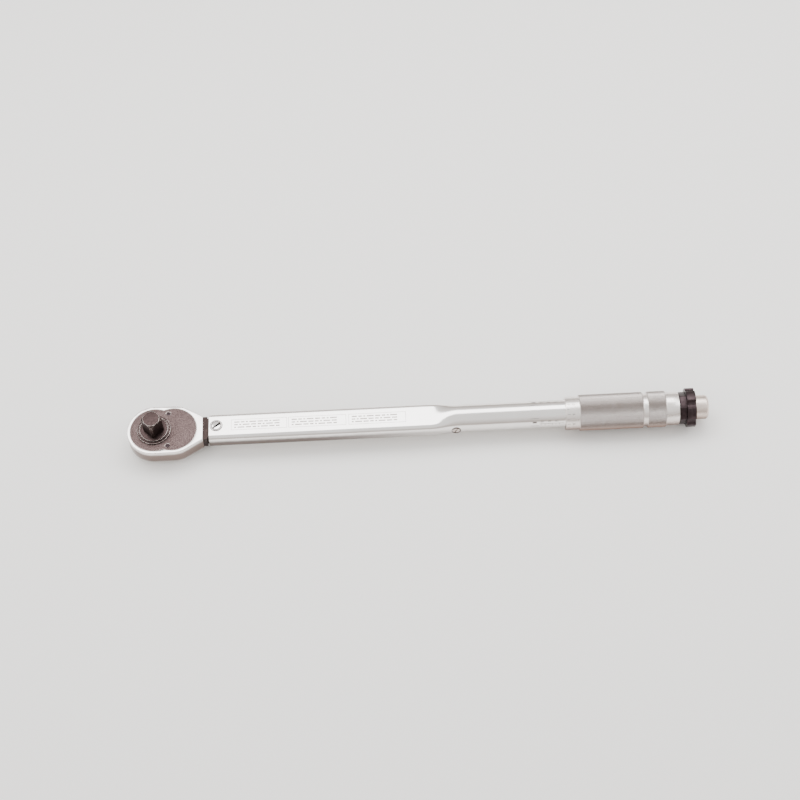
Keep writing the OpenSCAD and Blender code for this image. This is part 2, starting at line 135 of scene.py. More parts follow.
def copyNode(node, name, materials):  # a merged copy with flat faces made whole
    piece = nodes[node].copy()
    piece.data = nodes[node].data.copy()
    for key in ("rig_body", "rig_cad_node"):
        if key in piece:
            del piece[key]
    piece.parent = None
    piece.name = name
    bpy.context.scene.collection.objects.link(piece)
    dress(piece, materials)
    pick(piece)
    if piece.data.has_custom_normals:
        bpy.ops.mesh.customdata_custom_splitnormals_clear()
    bpy.ops.object.mode_set(mode="EDIT")
    bpy.ops.mesh.select_all(action="SELECT")
    bpy.ops.mesh.remove_doubles(threshold=1e-6)
    bpy.ops.mesh.dissolve_limited(angle_limit=math.radians(0.8))
    bpy.ops.object.mode_set(mode="OBJECT")
    return piece


def selectEdges(piece, test):  # test(middle in mm, the two faces' normals) says which edges to take
    mesh = piece.data
    around = {}
    for face in mesh.polygons:
        for key in face.edge_keys:
            around.setdefault(key, []).append(face.normal.copy())
    for face in mesh.polygons:
        face.select = False
    for vert in mesh.vertices:
        vert.select = False
    for edge in mesh.edges:
        start, end = (mesh.vertices[i].co for i in edge.vertices)
        normals = around.get(edge.key, [])
        edge.select = len(normals) == 2 and test((start + end) / 2 / mm, normals)


def bevelEdges(piece, test, width, segments=3, material=-1):
    pick(piece)
    bpy.ops.object.mode_set(mode="EDIT")
    bpy.ops.mesh.select_mode(type="EDGE")
    bpy.ops.object.mode_set(mode="OBJECT")
    selectEdges(piece, test)
    bpy.ops.object.mode_set(mode="EDIT")
    bpy.ops.mesh.bevel(offset=width * mm, segments=segments, profile=0.5,
                       material=material, clamp_overlap=True)
    bpy.ops.object.mode_set(mode="OBJECT")


def paintFaces(piece, test, index):  # test(middle in mm, normal) says which faces take the material
    for face in piece.data.polygons:
        if test(face.center / mm, face.normal):
            face.material_index = index


def between(normals, low, high=120):  # the angle between two faces, in degrees
    return low < math.degrees(normals[0].angle(normals[1], 0)) < high


def near(value, target, slack=0.01):
    return abs(value - target) < slack


def fromDrive(point):  # distance from the drive's axis
    return math.hypot(point.x, point.y)


def lathe(name, profile, steps, axisZ):  # profile: (x, radius) in mm, a closed line
    startOver()
    bpy.ops.mesh.primitive_plane_add(size=1 * mm, location=(0, 0, 0))
    piece = bpy.context.object
    piece.name = name
    bpy.ops.object.mode_set(mode="EDIT")
    bpy.ops.mesh.select_mode(type="VERT")
    bpy.ops.mesh.select_all(action="SELECT")
    bpy.ops.mesh.merge(type="CENTER")
    here = Vector((0, 0, 0))
    for number, (x, radius) in enumerate(profile):
        there = Vector((x * mm, 0, axisZ * mm + radius * mm))
        if number == 0:
            bpy.ops.transform.translate(value=there - here)
        else:
            bpy.ops.mesh.extrude_region_move(TRANSFORM_OT_translate={"value": there - here})
        here = there
    bpy.ops.mesh.select_all(action="SELECT")
    bpy.ops.mesh.remove_doubles(threshold=1e-7)
    bpy.ops.mesh.select_all(action="SELECT")
    bpy.ops.mesh.spin(steps=steps, angle=math.tau, center=(0, 0, axisZ * mm), axis=(1, 0, 0))
    bpy.ops.mesh.select_all(action="SELECT")
    bpy.ops.mesh.remove_doubles(threshold=2e-6)
    bpy.ops.mesh.normals_make_consistent(inside=False)
    bpy.ops.object.mode_set(mode="OBJECT")
    return piece


def cutAway(piece, cutter):
    pick(piece)
    cut = piece.modifiers.new("cut", "BOOLEAN")
    cut.operation = "DIFFERENCE"
    cut.solver = "EXACT"
    cut.object = cutter
    bpy.ops.object.modifier_apply(modifier=cut.name)
    bpy.data.objects.remove(cutter)


viewing = {"elevation": 58, "azimuth": 0.3, "roll": -3, "aim": (196.5, 17.1, -1.2), "distance": 1400,
           "lens": 78.75, "sensor": 36, "clipNear": 0.01, "clipFar": 20}  # degrees, mm, and metres to clip
elevation, azimuth = math.radians(viewing["elevation"]), math.radians(viewing["azimuth"])
back = Vector((math.sin(azimuth) * math.cos(elevation), -math.cos(azimuth) * math.cos(elevation),
               math.sin(elevation)))
bpy.ops.object.camera_add()
camera = bpy.context.object
camera.location = (Vector(viewing["aim"]) + back * viewing["distance"]) * mm
turn = (-back).to_track_quat("-Z", "Y")
camera.rotation_mode = "QUATERNION"
camera.rotation_quaternion = Quaternion(back, math.radians(viewing["roll"])) @ turn
camera.data.lens = viewing["lens"]
camera.data.sensor_width = viewing["sensor"]
camera.data.clip_start, camera.data.clip_end = viewing["clipNear"], viewing["clipFar"]
bpy.context.scene.camera = camera
print("camera placed")

light = {"middle": 0.2, "floorSize": 6, "floorDrop": 0.00005, "paper": "#f6f5f3", "paperRoughness": 0.9,
         "skyTop": "#fbfaf8", "skyLow": "#b5aaa2", "skyFrom": 0.05, "skyTo": 0.75, "skyPower": 1.45,
         "softboxes": (  # name, place and size in metres, watts
             ("keySoftbox", (0.12, 0.45, 0.95), (1.6, 0.6), 15),  # broad, over the far side
             ("fillSoftbox", (-0.9, -0.5, 0.9), (0.8, 0.8), 4),
             ("rimSoftbox", (1.1, 0.1, 0.7), (0.5, 0.7), 4))}
bpy.ops.mesh.primitive_plane_add(size=light["floorSize"],
                                 location=(light["middle"], 0, cadLow.z - light["floorDrop"]))
floor = bpy.context.object
floor.name = "studioFloor"
paper = bpy.data.materials.new("palePaper")
paper.use_nodes = True
paperShader = paper.node_tree.nodes["Principled BSDF"]
paperShader.inputs["Base Color"].default_value = hexColour(light["paper"])
paperShader.inputs["Roughness"].default_value = light["paperRoughness"]
floor.data.materials.append(paper)

for name, place, size, power in light["softboxes"]:
    bpy.ops.object.light_add(type="AREA", location=place)
    lamp = bpy.context.object
    lamp.name = name
    lamp.data.shape = "RECTANGLE"
    lamp.data.size, lamp.data.size_y = size
    lamp.data.energy = power
    lamp.rotation_mode = "QUATERNION"
    lamp.rotation_quaternion = (Vector((light["middle"], 0, 0)) - lamp.location).to_track_quat("-Z", "Y")

world = bpy.data.worlds.new("studio")
bpy.context.scene.world = world
world.use_nodes = True
sky = world.node_tree
sky.nodes.clear()
where = addNode(sky, "ShaderNodeTexCoord")
height = addNode(sky, "ShaderNodeSeparateXYZ", links={0: where.outputs["Generated"]})
fade = addNode(sky, "ShaderNodeValToRGB", links={0: height.outputs["Z"]})
lowStop, topStop = fade.color_ramp.elements
lowStop.position, topStop.position = light["skyFrom"], light["skyTo"]
lowStop.color, topStop.color = hexColour(light["skyLow"]), hexColour(light["skyTop"])
glow = addNode(sky, "ShaderNodeBackground",
               links={"Color": fade.outputs[0], "Strength": light["skyPower"]})
addNode(sky, "ShaderNodeOutputWorld", links={0: glow.outputs[0]})
print("light and floor done")


texture = {"grainDetail": 3.0, "grainLow": 0.3, "grainHigh": 0.7, "smoothest": 0.03,
           "toneDetail": 4.0, "toneLow": 0.35, "toneHigh": 0.65,
           "shadePatch": 6, "shadeRagged": 1.5, "shadeFade": 4}  # the painted shade's three are in mm


def finish(name, colour, roughness, metallic=1.0, grain=None, tone=None, paintedShade=None, shadeThins=None, valleyDark=None):
    # grain: (size mm, height mm, roughness swing); tone: (colour, patch mm, share)
    # paintedShade, painted shade on the flanks, a darker, warmer colour standing for a dark reflection:
    # (colour, none below this height, full up to this one, gone above this one)
    # shadeThins: (x where the painted shade starts to thin, x where it has thinned, the share left there)
    # valleyDark: (colour, attribute), a darker colour laid in the knurl's valleys
    made = bpy.data.materials.new(name)
    made.use_nodes = True
    tree = made.node_tree
    shader = tree.nodes["Principled BSDF"]
    shader.inputs["Base Color"].default_value = hexColour(colour)
    shader.inputs["Metallic"].default_value = metallic
    shader.inputs["Roughness"].default_value = roughness
    place = addNode(tree, "ShaderNodeTexCoord")
    coat = hexColour(colour)
    if grain:
        size, height, swing = grain
        speck = addNode(tree, "ShaderNodeTexNoise",
                        links={"Vector": place.outputs["Object"], "Scale": 1 / (size * mm),
                               "Detail": texture["grainDetail"]})
        rough = addNode(tree, "ShaderNodeMapRange",
                        links={"Value": speck.outputs["Fac"],
                               "From Min": texture["grainLow"], "From Max": texture["grainHigh"],
                               "To Min": max(texture["smoothest"], roughness - swing),
                               "To Max": roughness + swing})
        tree.links.new(rough.outputs["Result"], shader.inputs["Roughness"])
        bump = addNode(tree, "ShaderNodeBump",
                       links={"Height": speck.outputs["Fac"], "Distance": height * mm, "Strength": 1.0})
        tree.links.new(bump.outputs["Normal"], shader.inputs["Normal"])
    if tone:
        other, patch, share = tone
        cloud = addNode(tree, "ShaderNodeTexNoise",
                        links={"Vector": place.outputs["Object"], "Scale": 1 / (patch * mm),
                               "Detail": texture["toneDetail"]})
        patchy = addNode(tree, "ShaderNodeMapRange",
                         links={"Value": cloud.outputs["Fac"], "From Min": texture["toneLow"],
                                "From Max": texture["toneHigh"], "To Min": 0.0, "To Max": share})
        blend = addNode(tree, "ShaderNodeMix", settings={"data_type": "RGBA"},
                        links={0: patchy.outputs["Result"], 6: coat, 7: hexColour(other)})
        coat = blend.outputs[2]
    # painted shade: by height, the base colour is mixed toward a darker, warmer colour on the flanks
    if paintedShade:
        other, unshadedBelow, fullTo, goneAbove = paintedShade
        spot = addNode(tree, "ShaderNodeSeparateXYZ", links={0: place.outputs["Object"]})
        cloud = addNode(tree, "ShaderNodeTexNoise",
                        links={"Vector": place.outputs["Object"], "Scale": 1 / (texture["shadePatch"] * mm),
                               "Detail": texture["toneDetail"]})
        ragged = addNode(tree, "ShaderNodeMath", settings={"operation": "MULTIPLY_ADD"},
                         links={0: cloud.outputs["Fac"], 1: texture["shadeRagged"] * mm, 2: spot.outputs["Z"]})
        limits = [(ragged.outputs[0], fullTo, goneAbove, 1.0, 0.0),
                  (ragged.outputs[0], unshadedBelow, unshadedBelow + texture["shadeFade"], 0.0, 1.0)]
        if shadeThins:
            thinFrom, thinTo, left = shadeThins
            limits.append((spot.outputs["X"], thinFrom, thinTo, 1.0, left))
        cover = None
        for source, start, end, before, after in limits:  # the painted shade lies where every limit lets it
            allowed = addNode(tree, "ShaderNodeMapRange", settings={"interpolation_type": "SMOOTHSTEP"},
                              links={"Value": source, "From Min": start * mm, "From Max": end * mm,
                                     "To Min": before, "To Max": after}).outputs["Result"]
            if cover:
                cover = addNode(tree, "ShaderNodeMath", settings={"operation": "MULTIPLY"},
                                links={0: cover, 1: allowed}).outputs[0]
            else:
                cover = allowed
        shadeMix = addNode(tree, "ShaderNodeMix", settings={"data_type": "RGBA"},
                       links={0: cover, 6: coat, 7: hexColour(other)})
        coat = shadeMix.outputs[2]
    # a darker colour in the knurl's valleys, weighted by the pit attribute
    if valleyDark:
        other, layer = valleyDark
        pit = addNode(tree, "ShaderNodeAttribute", settings={"attribute_name": layer})
        valleyMix = addNode(tree, "ShaderNodeMix", settings={"data_type": "RGBA"},
                        links={0: pit.outputs["Fac"], 6: coat, 7: hexColour(other)})
        coat = valleyMix.outputs[2]
    if isinstance(coat, bpy.types.NodeSocket):
        tree.links.new(coat, shader.inputs["Base Color"])
    return made


# bright chrome plate over ground steel: near a mirror on its crown, with painted shade, a warm dark
# reflection painted down its flanks, thinning along the tube
brightChrome = finish("brightChromePlate", "#f3f0ee", 0.16, grain=(7, 0.006, 0.03),
                      tone=("#e4dfdb", 30, 0.4), paintedShade=("#6a605c", -12.5, -5.5, -0.3), shadeThins=(120, 260, 0.3))
# the same plate over the forged head, a touch rougher, with the forging's fine orange peel and painted shade
# down its flanks
forgedChrome = finish("forgedChromePlate", "#efebe9", 0.2, grain=(1.1, 0.02, 0.07),
                      tone=("#dcd5d0", 10, 0.4), paintedShade=("#7c6d67", -15.6, -5.5, -1.6))
# satin chrome plate on the turned sleeve: soft highlights that keep their shape; painted shade down its
# flanks, and a darker colour in the knurl's valleys
satinChrome = finish("satinChromePlate", "#efeae7", 0.27, grain=(0.7, 0.004, 0.04),
                     tone=("#e2dad5", 5, 0.3), paintedShade=("#957b70", -18.5, -11.0, 3.0), valleyDark=("#54443d", "pit"))
# manganese phosphate on stamped plate: dull, brown-grey, with fine crystals; grit drawn at 0.5 mm to show
phosphate = finish("manganesePhosphate", "#4c3e3d", 0.55, metallic=0.75, grain=(0.5, 0.05, 0.08),
                   tone=("#7d6a68", 0.8, 0.8))
# the forged drive has the same coat, darker because it is oiled; the same colour makes the painted shade
# rings round the pivot and set screws
driveCoatAndRingShade = finish("oiledPhosphateAndRingShade", "#463a39", 0.4, grain=(0.6, 0.02, 0.08), tone=("#2c2424", 1.6, 0.7))
# painted shade: a near-black colour for the neck behind the head, which sits in the shade of the tube's
# mouth, and for the drive gear's ring groove and walls
gapShade = finish("paintedGapShade", "#3d3331", 0.42, grain=(0.6, 0.01, 0.08), tone=("#241e1e", 2.5, 0.6))
# bright steel: a painted highlight on the bevelled edges of the dark coated parts, and the calibration
# screw's own bright steel
edgeHighlightAndBareSteel = finish("paintedEdgeHighlightSteel", "#d8cec8", 0.25, grain=(0.7, 0.006, 0.06), tone=("#8f827c", 1.5, 0.6))
# black oxide on the turned wheel: near black, satin, brown in its highlights
blackOxide = finish("blackOxideSteel", "#42383a", 0.36, grain=(0.7, 0.015, 0.08),
                    tone=("#292224", 2.5, 0.6))
# turned cap with a fine satin nickel plate: soft and slightly warm, with painted shade down its flanks
satinCap = finish("satinNickelPlate", "#ddd0c8", 0.33, grain=(0.6, 0.01, 0.07), tone=("#cbbbb1", 2, 0.5),
                  paintedShade=("#8d766b", -14.5, -8.5, 0.5))
# ground tool steel inside: plain grey with a low sheen
groundSteel = finish("groundToolSteel", "#a9a7a5", 0.3, grain=(0.7, 0.006, 0.08), tone=("#94918e", 3, 0.5))
# oil-tempered spring wire: blue-grey
springWire = finish("oilTemperedWire", "#565a63", 0.35, grain=(1.2, 0.01, 0.08), tone=("#3f4046", 2, 0.5))
# bearing balls: lapped, almost without texture
ballSteel = finish("polishedBallSteel", "#d8d8d8", 0.07, grain=(4, 0.001, 0.02))
# acid-etched marks on chrome: matt grey
etched = finish("acidEtch", "#c8c1bd", 0.6, metallic=0.6, grain=(0.4, 0.01, 0.1),
                tone=("#9d9590", 1.2, 0.7))
# rolled-in lines filled with dark paint, thin in places; the same colour is painted shade in the pivot
# screw's slot and groove
markPaintAndSlotShade = finish("darkMarkPaintAndSlotShade", "#4b443f", 0.6, metallic=0.0, grain=(0.5, 0.004, 0.1),
                   tone=("#8b817b", 0.8, 0.6))


def wear(piece, body, replaces=()):  # the body it rides, the CAD nodes it stands in for
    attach(piece, body)
    if replaces:
        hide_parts(*replaces)


kept = {  # CAD nodes that stay, and what each wears
    "cover_screws": blackOxide, "detent_spring": springWire, "detent_ball": ballSteel, "pawl": groundSteel,
    "pawl_pin": groundSteel, "lever_clip": blackOxide, "pawl_plunger": groundSteel,
    "plunger_spring": springWire, "tilt_block": groundSteel, "thrust_plunger": groundSteel,
    "main_spring": springWire, "spring_seat": groundSteel, "thrust_ball": ballSteel,
    "adjuster_nut": groundSteel, "nut_screws": blackOxide, "adjusting_screw": groundSteel,
    "end_bush": groundSteel, "lock_cone": groundSteel, "lock_ball_1": ballSteel,
    "lock_ball_2": ballSteel, "lock_ball_3": ballSteel, "lock_spindle": groundSteel,
    "calibration_screw": edgeHighlightAndBareSteel}
for name, made in kept.items():
    dress(nodes[name], [made])
print("finishes done")


headSizes = {"lowerRound": 2.0, "rimBevel": 0.45, "hubClear": 12, "leverX": 27.6, "leverClear": 8,
             "neckX": 39.5, "darkFrom": 39.2}
headBase, headFace = (corner.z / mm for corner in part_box("ratchet_head"))
head = copyNode("ratchet_head", "headForging", [forgedChrome, gapShade])
bevelEdges(head, lambda spot, sides: near(spot.z, headBase) and between(sides, 60)
           and fromDrive(spot) > headSizes["hubClear"]
           and math.hypot(spot.x - headSizes["leverX"], spot.y) > headSizes["leverClear"],
           headSizes["lowerRound"], segments=6)
bevelEdges(head, lambda spot, sides: near(spot.z, headFace) and between(sides, 60)
           and spot.x < headSizes["neckX"], headSizes["rimBevel"])
# painted shade: the neck faces take the near-black colour
paintFaces(head, lambda spot, normal: spot.x > headSizes["darkFrom"], 1)
smooth(head)
wear(head, "head", ["ratchet_head"])
print("head done")

plateSizes = {"edge": 0.18}
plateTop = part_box("cover_plate")[1].z / mm
plate = copyNode("cover_plate", "coverPlate", [phosphate, edgeHighlightAndBareSteel])
# painted highlight: the top edge's bevel takes the bright steel
bevelEdges(plate, lambda spot, sides: near(spot.z, plateTop) and between(sides, 40),
           plateSizes["edge"], segments=2, material=1)
smooth(plate)
wear(plate, "head", ["cover_plate"])

gearSizes = {"squareFrom": 0.3, "squareEdge": 0.38, "tip": 3, "ballHoleReach": 7.2,
             "rimFrom": -0.6, "rimTo": 0.2, "rimReach": 10.5, "rimEdge": 0.12,
             "grooveFrom": 10.9, "grooveTo": 12, "wallTop": -0.3, "wallFacing": 0.3}
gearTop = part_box("drive_gear")[1].z / mm
gear = copyNode("drive_gear", "squareDriveGear", [driveCoatAndRingShade, edgeHighlightAndBareSteel, gapShade])
# painted highlight: the square's and the rim's bevels take the bright steel
bevelEdges(gear, lambda spot, sides: spot.z > gearSizes["squareFrom"] and between(sides, 25)
           and not (spot.z < gearTop - gearSizes["tip"]  # the ball's hole keeps its edge
                    and fromDrive(spot) < gearSizes["ballHoleReach"]),
           gearSizes["squareEdge"], segments=2, material=1)
bevelEdges(gear, lambda spot, sides: gearSizes["rimFrom"] < spot.z < gearSizes["rimTo"]
           and between(sides, 60) and fromDrive(spot) > gearSizes["rimReach"],
           gearSizes["rimEdge"], segments=2, material=1)
paintFaces(gear, lambda spot, normal: spot.z < gearSizes["rimFrom"]  # painted shade: the ring groove and the walls stay dark
           and gearSizes["grooveFrom"] < fromDrive(spot) < gearSizes["grooveTo"]
           or spot.z < gearSizes["wallTop"] and normal.z < gearSizes["wallFacing"], 2)
smooth(gear, 24)
wear(gear, "drive", ["drive_gear"])

leverSizes = {"edge": 0.3, "edgeFrom": 2.5, "edgeTo": 3.4}
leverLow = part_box("reversing_lever")[0].z / mm
lever = copyNode("reversing_lever", "reversingLever", [blackOxide, edgeHighlightAndBareSteel])
# painted highlight: the upper edges' bevel takes the bright steel
bevelEdges(lever, lambda spot, sides: between(sides, 50, 130)
           and leverSizes["edgeFrom"] < spot.z - leverLow < leverSizes["edgeTo"],
           leverSizes["edge"], segments=2, material=1)
smooth(lever)
wear(lever, "lever", ["reversing_lever"])

pivotSizes = {"edge": 0.15, "slotBelow": 0.2, "slotFacing": 0.8}
pivotLow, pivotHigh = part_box("pivot_screw")
pivotTop = pivotHigh.z / mm
pivot = copyNode("pivot_screw", "pivotScrew", [brightChrome, markPaintAndSlotShade])
bevelEdges(pivot, lambda spot, sides: near(spot.z, pivotTop, 0.02) and between(sides, 50, 130),
           pivotSizes["edge"], segments=2)
# painted shade: faces down in the slot and the groove take the dark mark colour
paintFaces(pivot, lambda spot, normal: normal.z > pivotSizes["slotFacing"]
           and spot.z < pivotTop - pivotSizes["slotBelow"], 1)
smooth(pivot)
wear(pivot, "housing", ["pivot_screw"])

tubeSizes = {"axis": -6, "roundRadius": 11.1, "halfWide": 12, "halfHigh": 7, "corner": 4, "wall": 1.5,
             "sides": 128, "flatEnd": 219, "roundStart": 241, "blendSteps": 20, "mouth": 4,
             "flatFrom": 60, "flatStep": 20, "roundFrom": 260, "roundStep": 40, "crown": 5,
             "pivotHole": 4.52, "pivotDeep": 30, "setHole": 3.02, "setDeep": 10, "holeSides": 64}
shadowRingSizes = {"pivotRing": 4.85, "pivotThick": 0.3, "pivotHeight": 1.0, "setRing": 3.45, "setThick": 0.42,
             "setOut": 10.85, "sides": 64, "thickSides": 12}
setLow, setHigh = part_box("calibration_screw")
upright, sideways = (0, 0, 0), (math.pi / 2, 0, 0)
# painted shade: thin dark rings round the pivot screw and the set screw stand for the shadow in the gap
# around each
for name, place, turned, ring, thick in (
        ("pivotSeatRing", ((pivotLow.x + pivotHigh.x) / 2, 0, shadowRingSizes["pivotHeight"] * mm),
         upright, shadowRingSizes["pivotRing"], shadowRingSizes["pivotThick"]),
        ("setScrewSeatRing", ((setLow.x + setHigh.x) / 2, -shadowRingSizes["setOut"] * mm, tubeSizes["axis"] * mm),
         sideways, shadowRingSizes["setRing"], shadowRingSizes["setThick"])):
    startOver()
    bpy.ops.mesh.primitive_torus_add(
        location=place, rotation=turned, major_radius=ring * mm, minor_radius=thick * mm,
        major_segments=shadowRingSizes["sides"], minor_segments=shadowRingSizes["thickSides"])
    shadowRing = settle(bpy.context.object)
    shadowRing.name = name
    dress(shadowRing, [driveCoatAndRingShade])
    smooth(shadowRing)
    wear(shadowRing, "housing")
print("drive, lever and screws done")


def flatTubePoint(share, half, high, corner):  # a point at a share of the way round
    runs = [(high - corner, "up"), (corner * math.pi / 2, 0), (2 * (half - corner), "left"),
            (corner * math.pi / 2, 1), (2 * (high - corner), "down"), (corner * math.pi / 2, 2),
            (2 * (half - corner), "right"), (corner * math.pi / 2, 3), (high - corner, "last")]
    left = share * sum(length for length, kind in runs)
    for length, kind in runs:
        if left <= length or kind == "last":
            break
        left -= length
    if kind == "up":
        return half, left
    if kind == "left":
        return half - corner - left, high
    if kind == "down":
        return -half, high - corner - left
    if kind == "right":
        return -half + corner + left, -high
    if kind == "last":
        return half, -high + corner + left
    turned = left / corner + kind * math.pi / 2
    middle = [(1, 1), (-1, 1), (-1, -1), (1, -1)][kind]
    return (middle[0] * (half - corner) + corner * math.cos(turned),
            middle[1] * (high - corner) + corner * math.sin(turned))


startOver()
tubeLow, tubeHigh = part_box("tube")
bpy.ops.mesh.primitive_circle_add(
    vertices=tubeSizes["sides"], radius=tubeSizes["roundRadius"] * mm,
    location=(tubeLow.x, 0, tubeSizes["axis"] * mm), rotation=(0, math.pi / 2, 0))
tube = settle(bpy.context.object)
tube.name = "chromeTube"
stations = [tubeLow.x / mm, tubeLow.x / mm + tubeSizes["mouth"]]
stations += range(tubeSizes["flatFrom"], tubeSizes["flatEnd"], tubeSizes["flatStep"])
blendLength = tubeSizes["roundStart"] - tubeSizes["flatEnd"]
stations += [tubeSizes["flatEnd"] + blendLength * i / tubeSizes["blendSteps"]
             for i in range(tubeSizes["blendSteps"] + 1)]
stations += range(tubeSizes["roundFrom"], int(tubeHigh.x / mm), tubeSizes["roundStep"])
stations += [tubeHigh.x / mm]
bpy.ops.object.mode_set(mode="EDIT")
bpy.ops.mesh.select_all(action="SELECT")
for before, after in zip(stations, stations[1:]):
    bpy.ops.mesh.extrude_edges_move(TRANSFORM_OT_translate={"value": ((after - before) * mm, 0, 0)})
bpy.ops.object.mode_set(mode="OBJECT")
for vert in tube.data.vertices:  # press the front length flat, and let it flow into the round
    y, z = vert.co.y, vert.co.z - tubeSizes["axis"] * mm
    share = (math.atan2(z, y) / math.tau) % 1
    flat = flatTubePoint(share, tubeSizes["halfWide"], tubeSizes["halfHigh"], tubeSizes["corner"])
    way = (vert.co.x / mm - tubeSizes["flatEnd"]) / blendLength
    way = min(1, max(0, way))
    way = way * way * (3 - 2 * way)
    vert.co.y = y * way + flat[0] * mm * (1 - way)
    vert.co.z = (z * way + flat[1] * mm * (1 - way)) + tubeSizes["axis"] * mm
pick(tube)
bpy.ops.object.mode_set(mode="EDIT")
bpy.ops.mesh.select_all(action="SELECT")
bpy.ops.mesh.normals_make_consistent(inside=False)
bpy.ops.object.mode_set(mode="OBJECT")
crownHeight = (tubeSizes["axis"] + tubeSizes["crown"]) * mm
if sum(face.normal.z for face in tube.data.polygons if face.center.z > crownHeight) < 0:
    tube.data.flip_normals()  # an open sheet can come out inside out
wall = tube.modifiers.new("wall", "SOLIDIFY")
wall.thickness = tubeSizes["wall"] * mm
wall.offset = -1
wall.use_even_offset = True
bpy.ops.object.modifier_apply(modifier=wall.name)
pivotMiddle, setMiddle = (pivotLow + pivotHigh) / 2, (setLow + setHigh) / 2
for place, turned, radius, deep in (
        (pivotMiddle, upright, tubeSizes["pivotHole"], tubeSizes["pivotDeep"]),
        ((setMiddle.x, setLow.y, setMiddle.z), sideways, tubeSizes["setHole"], tubeSizes["setDeep"])):
    startOver()
    bpy.ops.mesh.primitive_cylinder_add(vertices=tubeSizes["holeSides"], radius=radius * mm,
                                        depth=deep * mm, location=place, rotation=turned)
    cutAway(tube, settle(bpy.context.object))
smooth(tube)
dress(tube, [brightChrome])
wear(tube, "housing", ["tube"])
print("tube done")

gripSizes = {"front": 11, "longKnurl": 51, "groove": 3, "shortKnurl": 15,
             "band": 13.25, "knurl": 14.4, "bore": 11.18, "boreEdge": 0.4, "lip": 0.5, "lipCut": 0.15,
             "riser": 0.05, "grooveSlope": 1.2, "columns": 68, "depth": 0.42, "chamfer": 0.7,
             "crownSlack": 0.05, "pitDarkness": 0.8}
band, knurlTop, bore = gripSizes["band"], gripSizes["knurl"], gripSizes["bore"]
chamfer, lip, lipCut = gripSizes["chamfer"], gripSizes["lip"], gripSizes["lipCut"]
diamondHalf = math.tau * knurlTop / gripSizes["columns"] / 2
gripFront, gripBack = (corner.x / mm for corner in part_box("grip"))
longFrom = gripFront + gripSizes["front"]
longTo = longFrom + gripSizes["longKnurl"]
shortFrom = longTo + gripSizes["groove"]
shortTo = shortFrom + gripSizes["shortKnurl"]


def knurlRows(start, end):  # rows half a diamond apart between two chamfers
    inner = end - start - 2 * chamfer
    count = 2 * round(inner / diamondHalf / 2)
    return [start + chamfer + inner * i / count for i in range(count + 1)]


def knurledBand(start, end, rows):  # a chamfered band that stands up from the sleeve
    return ([(start - gripSizes["riser"], band), (start, knurlTop - chamfer)] + [(x, knurlTop) for x in rows]
            + [(end, knurlTop - chamfer), (end + gripSizes["riser"], band)])


longRows, shortRows = knurlRows(longFrom, longTo), knurlRows(shortFrom, shortTo)
sleeve = [(gripFront + gripSizes["boreEdge"], bore), (gripFront, bore + gripSizes["boreEdge"]),
          (gripFront, band - lip), (gripFront + lipCut, band - lipCut), (gripFront + lip, band)]
sleeve += knurledBand(longFrom, longTo, longRows)
sleeve += [(longTo + gripSizes["grooveSlope"], band - lipCut),
           (shortFrom - gripSizes["grooveSlope"], band - lipCut)]
sleeve += knurledBand(shortFrom, shortTo, shortRows)
sleeve += [(gripBack - lip, band), (gripBack - lipCut, band - lipCut), (gripBack, band - lip),
           (gripBack, bore), sleeve[0]]
grip = lathe("knurledGrip", sleeve, gripSizes["columns"] * 2, tubeSizes["axis"])
stepAngle = math.tau / (gripSizes["columns"] * 2)
pits = grip.data.attributes.new("pit", "FLOAT", "POINT")
for vert in grip.data.vertices:  # every second point is pressed in, which leaves diamonds
    y, z = vert.co.y, vert.co.z - tubeSizes["axis"] * mm
    radius = math.hypot(y, z)
    if radius < (knurlTop - gripSizes["crownSlack"]) * mm:
        continue
    rows = longRows if vert.co.x / mm < longTo else shortRows
    row = round((vert.co.x / mm - rows[0]) / (rows[1] - rows[0]))
    column = round(math.atan2(y, z) / stepAngle)
    if (row + column) % 2:
        small = (radius - gripSizes["depth"] * mm) / radius
        vert.co.y, vert.co.z = y * small, z * small + tubeSizes["axis"] * mm
        pits.data[vert.index].value = gripSizes["pitDarkness"]
pick(grip)
bpy.ops.object.mode_set(mode="EDIT")
bpy.ops.mesh.select_all(action="SELECT")
bpy.ops.mesh.quads_convert_to_tris(quad_method="SHORTEST_DIAGONAL", ngon_method="BEAUTY")
bpy.ops.object.mode_set(mode="OBJECT")
smooth(grip, 25)
dress(grip, [satinChrome])
wear(grip, "handle", ["grip"])
print("grip done")


def fromAxis(point):  # distance from the tube's axis
    return math.hypot(point.y, point.z - tubeSizes["axis"])


wheelSizes = {"disc": 7, "lobeRound": 1.5, "lobeInset": 1, "lobeReach": 14, "rimRound": 1.7,
              "rimReach": 13.2, "neckBevel": 0.35, "neckInset": 0.5, "neckReach": 11}
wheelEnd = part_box("lock_wheel")[1].x / mm
discStart = wheelEnd - wheelSizes["disc"]
wheel = copyNode("lock_wheel", "lobedLockWheel", [blackOxide, edgeHighlightAndBareSteel])
bevelEdges(wheel, lambda spot, sides: spot.x > discStart + wheelSizes["lobeInset"]
           and fromAxis(spot) > wheelSizes["lobeReach"] and between(sides, 25)
           and max(abs(sides[0].x), abs(sides[1].x)) < 0.1,  # both faces stand along the axis
           wheelSizes["lobeRound"], segments=4)
bevelEdges(wheel, lambda spot, sides: (near(spot.x, discStart, 0.02) or near(spot.x, wheelEnd, 0.02))
           and fromAxis(spot) > wheelSizes["rimReach"] and between(sides, 60),
           wheelSizes["rimRound"], segments=5)
bevelEdges(wheel, lambda spot, sides: spot.x < discStart - wheelSizes["neckInset"] and between(sides, 30)
           and fromAxis(spot) > wheelSizes["neckReach"], wheelSizes["neckBevel"], segments=2)
smooth(wheel, 34)
wear(wheel, "lock_knob", ["lock_wheel"])

